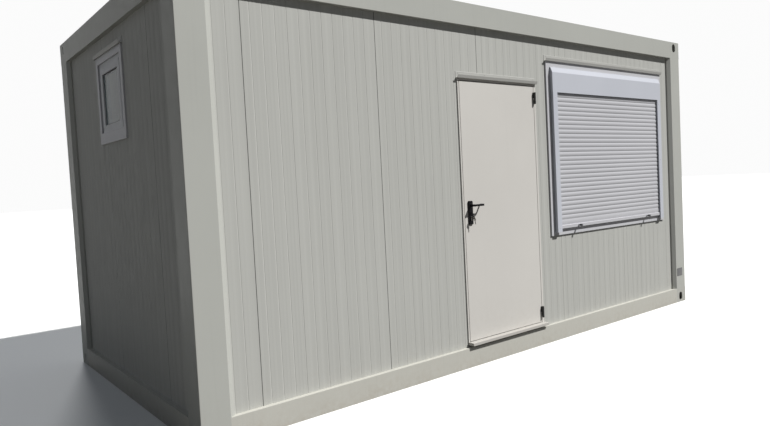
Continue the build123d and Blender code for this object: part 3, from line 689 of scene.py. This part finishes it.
def buildHandlePlates():
    bm = bmesh.new()
    (_, outerFace, _), (_, innerFace, _) = [drawn(corner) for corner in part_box("handle_plates")]
    (_, leafFace, _), (_, leafBack, _) = [drawn(corner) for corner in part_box("door_leaf")]
    for face, seat, outwards in ((outerFace, leafFace, outwardsFront), (innerFace, leafBack, -outwardsFront)):
        left = lever["along"] - handlePlates["halfWidth"]
        right = lever["along"] + handlePlates["halfWidth"]
        low, high = ordered(spot(left, face, handlePlates["foot"]), spot(right, seat, handlePlates["top"]))
        front = spot(0, face, 0).y
        addPlate(bm, low, high, 1, front, mm(handlePlates["corner"]), mm(handlePlates["rim"]))
        inner = lever["neck"] + handlePlates["neckGap"]
        outer = lever["neck"] + handlePlates["collar"]
        rise = handlePlates["collarProud"]
        edge = handlePlates["collarEdge"]
        addTurned(bm, spot(lever["along"], face, lever["height"]), outwards, [
            (inner, 0), (outer, 0), (outer, rise - edge), (outer - edge, rise), (inner, rise), (inner, 0),
        ], steps=32)
        inset = handlePlates["screwInset"]
        for height in (handlePlates["foot"] + inset, handlePlates["top"] - inset):
            place = spot(lever["along"], face, height)
            addScrew(bm, place, outwards, handlePlates["screw"], handlePlates["screwRise"])
    plates = finishPiece("handlePlates", bm, blackCoat, "door")
    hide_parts("handle_plates")


buildHandlePlates()

# Keys: one in the lock, and on its ring a second one that hangs beside the plate

keySet = {"bow": 11, "bowEdge": 0.6, "hole": 3, "thick": 2.4, "blade": 7, "bladeStart": 10, "bladeLength": 27,
          "teeth": ((8, 1.6), (13, 1.0), (18, 2.0), (23, 1.2)), "halfTooth": 1.5, "toothRoot": 0.5,
          "wire": 0.9, "ring": 8, "aboveLock": 8, "bowDepth": -9, "ringAlong": 2262,
          "hangAlong": 2266, "hangDepth": -11, "hangHeight": 1140, "hangTurn": -7}


def addKey(bm, place):
    # Drawn with its round bow at the centre, flat to the front, and its blade downwards
    before = set(bm.verts)
    thick = keySet["thick"]
    bow = keySet["bow"]
    hole = keySet["hole"]
    edge = keySet["bowEdge"]
    addTurned(bm, Vector((0, mm(-thick / 2), 0)), Vector((0, 1, 0)), [
        (hole, 0), (bow - edge, 0), (bow, edge), (bow, thick - edge), (bow - edge, thick), (hole, thick),
        (hole, 0),
    ])
    flat = mm(thick / 2 * 0.8)  # the blade is thinner than the bow
    side = keySet["blade"] / 2
    top = keySet["bladeStart"]
    low = Vector((-mm(side), -flat, -mm(top + keySet["bladeLength"])))
    high = Vector((mm(side), flat, -mm(top)))
    addBlock(bm, low, high, mm(0.4))
    for drop, reach in keySet["teeth"]:
        low = Vector((mm(side - keySet["toothRoot"]), -flat, -mm(top + drop + keySet["halfTooth"])))
        high = Vector((mm(side + reach), flat, -mm(top + drop - keySet["halfTooth"])))
        addBlock(bm, low, high, mm(0.3))
    fresh = [vert for vert in bm.verts if vert not in before]
    bmesh.ops.transform(bm, matrix=place, verts=fresh)


def buildKeySet():
    bm = bmesh.new()
    lockLow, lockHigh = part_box("lock_cylinder")
    keyHeight = drawn((lockLow + lockHigh) / 2)[2] + keySet["aboveLock"]
    inLock = spot(lever["along"], keySet["bowDepth"], keyHeight)
    turned = Matrix.Rotation(math.radians(90), 4, "X") @ Matrix.Rotation(math.radians(90), 4, "Z")
    addKey(bm, Matrix.Translation(inLock) @ turned)
    ringCentre = spot(keySet["ringAlong"], keySet["bowDepth"], keyHeight - keySet["ring"])
    ringAxis = Vector((0.3, 1, 0.1)).normalized()
    addRing(bm, ringCentre, ringAxis, mm(keySet["ring"]), mm(keySet["wire"]))
    hanging = spot(keySet["hangAlong"], keySet["hangDepth"], keySet["hangHeight"])
    addKey(bm, Matrix.Translation(hanging) @ Matrix.Rotation(math.radians(keySet["hangTurn"]), 4, "Y"))
    finishPiece("keySet", bm, keyNickel, "door")


buildKeySet()
print("handle plates and keys made")

# Hinges: a domed cap at each end of the knuckles and two screws in each wing

hingeDress = {"axisInset": 15, "axisBehind": 9, "halfHeight": 47, "gap": 0.5, "cap": 9, "capRise": 2.4,
              "screw": 3.0, "screwRise": 1.0, "screwDepth": 25, "screwAway": 11.6, "screwHeights": (11, 35)}


def buildHingeDress():
    low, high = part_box("door_hinges_on_frame")
    axisAlong = drawn(high)[0] - hingeDress["axisInset"]
    axisDepth = drawn(low)[1] + hingeDress["axisBehind"]
    half = hingeDress["halfHeight"]
    cap = hingeDress["cap"]
    rise = hingeDress["capRise"]
    feet = [drawn(low)[2], drawn(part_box("door_hinges_on_leaf")[1])[2] - 2 * half]
    sides = (
        ("hingeCapsOnFrame", "cabin", 1, 0, 0, -1),
        ("hingeCapsOnLeaf", "door", -1, half, 2 * half - hingeDress["gap"], 1),
    )
    for name, body, way, screwLift, capLift, upOrDown in sides:
        bm = bmesh.new()
        for foot in feet:
            addTurned(bm, spot(axisAlong, axisDepth, foot + capLift), Vector((0, 0, upOrDown)), [
                (0, 0), (cap, 0), (cap * 0.92, rise * 0.45), (cap * 0.6, rise * 0.88), (0, rise),
            ])
            for height in hingeDress["screwHeights"]:
                along = axisAlong + way * hingeDress["screwAway"]
                place = spot(along, hingeDress["screwDepth"], foot + screwLift + height)
                addScrew(bm, place, outwardsFront, hingeDress["screw"], hingeDress["screwRise"])
        finishPiece(name, bm, hingeCoat, body)


buildHingeDress()

# Lock: a face plate with its latch in the leaf's edge, and a strike plate on the frame

lockEdge = {"foot": 1085, "top": 1315, "strikeFoot": 1130, "strikeTop": 1290, "front": 39, "back": 57,
            "thick": 0.7, "sunk": 0.5, "corner": 8.5, "strikeCorner": 4, "rim": 0.2, "leafGap": 5,
            "latchProud": 3.4, "latchFront": 42, "latchBack": 54, "halfLatch": 15, "latchRound": 0.8}


def buildLockEdge():
    leafEdge = drawn(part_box("door_leaf")[0])[0]
    frameEdge = leafEdge - lockEdge["leafGap"]
    half = lockEdge["halfLatch"]
    rim = mm(lockEdge["rim"])
    bm = bmesh.new()
    low, high = ordered(spot(leafEdge - lockEdge["thick"], lockEdge["front"], lockEdge["foot"]),
                        spot(leafEdge + lockEdge["sunk"], lockEdge["back"], lockEdge["top"]))
    addPlate(bm, low, high, 0, low.x, mm(lockEdge["corner"]), rim)
    low = spot(leafEdge - lockEdge["latchProud"], lockEdge["latchFront"], lever["height"] - half)
    high = spot(leafEdge, lockEdge["latchBack"], lever["height"] + half)
    addBlock(bm, low, high, mm(lockEdge["latchRound"]))
    finishPiece("lockFacePlate", bm, screwSteel, "door")
    bm = bmesh.new()
    low, high = ordered(spot(frameEdge - lockEdge["sunk"], lockEdge["front"], lockEdge["strikeFoot"]),
                        spot(frameEdge + lockEdge["thick"], lockEdge["back"], lockEdge["strikeTop"]))
    addPlate(bm, low, high, 0, high.x, mm(lockEdge["strikeCorner"]), rim)
    finishPiece("strikePlate", bm, screwSteel, "cabin")


buildLockEdge()

# Rubber seal that the closed leaf rests against, on the stop of the frame

doorSeal = {"front": 68.5, "back": 73, "width": 8, "edge": 2.5, "below": 3, "rounding": 1.6}


def buildDoorSeal():
    leafLow, leafHigh = [drawn(corner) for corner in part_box("door_leaf")]
    left = leafLow[0] + doorSeal["edge"]
    right = leafHigh[0] - doorSeal["edge"]
    top = leafHigh[2] - doorSeal["edge"]
    foot = leafLow[2] - doorSeal["below"]
    front = doorSeal["front"]
    back = doorSeal["back"]
    width = doorSeal["width"]
    rounding = mm(doorSeal["rounding"])
    bm = bmesh.new()
    for start, end in ((left, left + width), (right - width, right)):
        addBlock(bm, spot(start, front, foot), spot(end, back, top), rounding)
    addBlock(bm, spot(left + width, front, top - width), spot(right - width, back, top), rounding)
    finishPiece("doorSeal", bm, rubberSeal, "cabin")


buildDoorSeal()
print("hinges, lock and door seal dressed")

# Rain gutters: rivets through the leg and a bead of sealant along its upper edge

gutterDress = {"rivet": 3.4, "rivetRise": 1.4, "rivetDrop": 10, "spacing": 300, "inset": 25, "legThick": 2,
               "bead": 2.6, "beadInset": 2}


def dressGutter(rivets, beads, place, outwards, start, end, legBack, legTop):
    legFace = legBack - gutterDress["legThick"]
    for along in evenly(start + gutterDress["inset"], end - gutterDress["inset"], gutterDress["spacing"]):
        rivetPlace = place(along, legFace, legTop - gutterDress["rivetDrop"])
        addScrew(rivets, rivetPlace, outwards, gutterDress["rivet"], gutterDress["rivetRise"])
    first = place(start + gutterDress["beadInset"], legBack, legTop)
    last = place(end - gutterDress["beadInset"], legBack, legTop)
    radius = mm(gutterDress["bead"])
    turn = (last - first).to_track_quat("Z", "Y").to_matrix().to_4x4()
    bmesh.ops.create_cone(beads, cap_ends=True, cap_tris=False, segments=10, radius1=radius, radius2=radius,
                          depth=(last - first).length, matrix=Matrix.Translation((first + last) / 2) @ turn)


def buildGutterDress():
    rivets = bmesh.new()
    beads = bmesh.new()
    for nodeName in ("door_drip_cap", "window_drip_cap"):
        low, high = [drawn(corner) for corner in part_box(nodeName)]
        dressGutter(rivets, beads, spot, outwardsFront, low[0], high[0], high[1], high[2])
    low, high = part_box("end_window_drip_cap")
    start = (farY - high.y) * 1000
    end = (farY - low.y) * 1000
    legBack = (high.x - cornerX) * 1000
    dressGutter(rivets, beads, spotLeft, outwardsLeft, start, end, legBack, high.z * 1000)
    finishPiece("gutterRivets", rivets, gutterPaint, "cabin")
    finishPiece("gutterSealant", beads, sealant, "cabin")


buildGutterDress()
print("gutters dressed")

# Shutter: pressed end plates on the box, and plugs over the screws in the guides

shutterDress = {"plate": 1.4, "hoodHeight": 218, "bevelHeight": 45, "bevelDepth": 18, "intoTrim": 6,
                "plug": 5.5, "plugRise": 1.6, "plugHeights": (2132, 1560, 985), "guideMiddle": 30}


def buildBoxEnds():
    front = drawn(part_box("shutter_box")[0])[1]
    back = drawn(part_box("window_trim")[0])[1] + shutterDress["intoTrim"]
    (guideLeft, _, _), (guideRight, _, foot) = [drawn(corner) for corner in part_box("shutter_guides")]
    top = foot + shutterDress["hoodHeight"]
    outline = [(front, foot), (front, top - shutterDress["bevelHeight"]),
               (front + shutterDress["bevelDepth"], top), (back, top), (back, foot)]
    bm = bmesh.new()
    for start, way in ((guideLeft, -1), (guideRight, 1)):
        face = bm.faces.new([bm.verts.new(spot(start, depth, height)) for depth, height in outline])
        thicken(bm, [face], (way * mm(shutterDress["plate"]), 0, 0))
    finishPiece("shutterBoxEnds", bm, shutterPaint, "cabin")


def buildGuidePlugs():
    low, high = [drawn(corner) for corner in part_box("shutter_guides")]
    middle = shutterDress["guideMiddle"]
    plug = shutterDress["plug"]
    rise = shutterDress["plugRise"]
    bm = bmesh.new()
    for along in (low[0] + middle, high[0] - middle):
        for height in shutterDress["plugHeights"]:
            addTurned(bm, spot(along, low[1], height), outwardsFront, [
                (0, 0), (plug, 0), (plug, rise * 0.5), (plug * 0.8, rise), (0, rise),
            ], steps=20)
    finishPiece("guidePlugs", bm, whiteProfile, "cabin")


buildBoxEnds()
buildGuidePlugs()
print("shutter dressed")

# Windows: black glazing seals on both faces of each pane, and a handle indoors on each sash

windowDress = {"halfPost": 25, "sashGap": 0.5, "sash": 52, "paneGap": 0.3, "seal": 5, "sealThick": 1.4,
               "halfBase": 15, "baseHeight": 70, "baseThick": 10, "baseRound": 2.5,
               "halfNeck": 9, "neckReach": 38, "gripOut": 30, "halfGrip": 10, "gripThick": 12,
               "gripLength": 110, "gripRound": 4}


def paneBoxes():
    # Each pane of the long window, then the one in the left end
    low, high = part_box("window_glass")
    middle = (low.x + high.x) / 2
    toPane = windowDress["halfPost"] + windowDress["sashGap"] + windowDress["sash"] + windowDress["paneGap"]
    leftHigh = Vector((middle - mm(toPane), high.y, high.z))
    rightLow = Vector((middle + mm(toPane), low.y, low.z))
    return [(low, leftHigh), (rightLow, high)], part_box("end_window_glass")


def buildGlassSeals():
    bm = bmesh.new()
    front, end = paneBoxes()
    width = mm(windowDress["seal"])
    thick = mm(windowDress["sealThick"])
    for low, high in front:
        for y, way in ((low.y, -1), (high.y, 1)):
            corners = [(low.x, y, low.z), (high.x, y, low.z), (high.x, y, high.z), (low.x, y, high.z)]
            addSurround(bm, corners, width, (0, way * thick, 0))
    low, high = end
    for x, way in ((low.x, -1), (high.x, 1)):
        corners = [(x, low.y, low.z), (x, high.y, low.z), (x, high.y, high.z), (x, low.y, high.z)]
        addSurround(bm, corners, width, (way * thick, 0, 0))
    finishPiece("glassSeals", bm, rubberSeal, "cabin")


def addSashHandle(bm, foot, inwards, sideways):
    # A base on the sash with a neck and a grip that hangs down
    up = Vector((0, 0, 1))
    base = sideways * mm(windowDress["halfBase"]) + up * mm(windowDress["baseHeight"]) / 2
    low, high = ordered(foot - base, foot + base + inwards * mm(windowDress["baseThick"]))
    addBlock(bm, low, high, mm(windowDress["baseRound"]))
    neck = (sideways + up) * mm(windowDress["halfNeck"])
    low, high = ordered(foot - neck, foot + neck + inwards * mm(windowDress["neckReach"]))
    addBlock(bm, low, high, mm(windowDress["baseRound"]))
    grip = foot + inwards * mm(windowDress["gripOut"])
    half = sideways * mm(windowDress["halfGrip"])
    low, high = ordered(grip - half - up * mm(windowDress["gripLength"]),
                        grip + half + inwards * mm(windowDress["gripThick"]))
    addBlock(bm, low, high, mm(windowDress["gripRound"]))


def buildSashHandles():
    bm = bmesh.new()
    halfSash = windowDress["sash"] / 2
    fromMiddle = mm(windowDress["halfPost"] + windowDress["sashGap"] + halfSash)
    low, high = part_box("window_sashes")
    middle = (low.x + high.x) / 2
    height = (low.z + high.z) / 2
    for way in (-1, 1):
        foot = Vector((middle + way * fromMiddle, high.y, height))
        addSashHandle(bm, foot, Vector((0, 1, 0)), Vector((1, 0, 0)))
    low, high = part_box("end_window_sash")
    foot = Vector((high.x, low.y + mm(halfSash), (low.z + high.z) / 2))
    addSashHandle(bm, foot, Vector((1, 0, 0)), Vector((0, 1, 0)))
    finishPiece("sashHandles", bm, whiteProfile, "cabin")


buildGlassSeals()
buildSashHandles()
print("windows dressed")

# Camera, light and floor

view = {"focal": 29.6308, "sensor": 36.0, "place": (-1305.86, -3421.70, 1462.39),
        "turn": (87.24271674, 2.95094256, -38.4098625)}


def addCamera():
    data = bpy.data.cameras.new("camera")
    data.lens = view["focal"]
    data.sensor_width = view["sensor"]
    data.sensor_fit = "HORIZONTAL"
    data.clip_end = 200
    camera = bpy.data.objects.new("camera", data)
    camera.location = spot(*view["place"])
    camera.rotation_euler = [math.radians(angle) for angle in view["turn"]]
    bpy.context.scene.collection.objects.link(camera)
    bpy.context.scene.camera = camera


# What is seen of sky and floor is pale, but the light that they throw on the cabin is dim, so
# that the sun's shadows stay clear
lighting = {"sunWay": (-0.96, 1.0, -1.56), "sunPower": 5.6, "sunAngle": 1.6, "sunColour": (1.0, 0.99, 0.975),
            "backWay": (-0.25, -1.0, -0.75), "backPower": 1.3, "backAngle": 12.0,
            "backColour": (0.96, 0.98, 1.0),
            "skyColour": (0.100, 0.112, 0.130), "skySeen": (0.97, 0.97, 0.97),
            "floorSeen": (0.82, 0.82, 0.81), "floorFill": (0.105, 0.100, 0.092), "floorReach": 90.0}


def seenDirectly(tree):
    path = tree.nodes.new("ShaderNodeLightPath")
    both = mathNode(tree, "MAXIMUM", path.outputs["Is Camera Ray"], path.outputs["Is Glossy Ray"])
    return mathNode(tree, "MAXIMUM", both, path.outputs["Is Transmission Ray"])


def addLamp(name):
    lamp = bpy.data.lights.new(name + "Lamp", "SUN")
    lamp.energy = lighting[name + "Power"]
    lamp.angle = math.radians(lighting[name + "Angle"])
    lamp.color = lighting[name + "Colour"]
    holder = bpy.data.objects.new(name + "Lamp", lamp)
    way = Vector(lighting[name + "Way"])
    holder.rotation_euler = way.to_track_quat("-Z", "Y").to_euler()
    holder.location = -8 * way.normalized()
    bpy.context.scene.collection.objects.link(holder)


def addSky():
    world = bpy.data.worlds.new("world")
    world.use_nodes = True
    tree = world.node_tree
    colour = blendColours(tree, seenDirectly(tree), lighting["skyColour"], lighting["skySeen"])
    tree.links.new(colour, tree.nodes["Background"].inputs["Color"])
    bpy.context.scene.world = world


def addFloor():
    bm = bmesh.new()
    made = bmesh.ops.create_grid(bm, x_segments=2, y_segments=2, size=lighting["floorReach"])
    bmesh.ops.translate(bm, vec=(0, 0, -mm(0.5)), verts=made["verts"])  # just clear of the cabin's foot
    mesh = bpy.data.meshes.new("floor")
    bm.to_mesh(mesh)
    bm.free()
    floor = bpy.data.objects.new("floor", mesh)
    bpy.context.scene.collection.objects.link(floor)
    finish = Finish("floorFinish")
    seen = seenDirectly(finish.tree)
    finish.feed("Base Color", finish.blend(seen, lighting["floorFill"], lighting["floorSeen"]))
    finish.feed("Roughness", 0.9)
    finish.feed("Specular IOR Level", 0.1)
    mesh.materials.append(finish.material)


addCamera()
addLamp("sun")
addLamp("back")  # weak and broad, for the views from behind
addSky()
addFloor()
bpy.context.scene.view_settings.view_transform = "Standard"
print("camera, light and floor set")
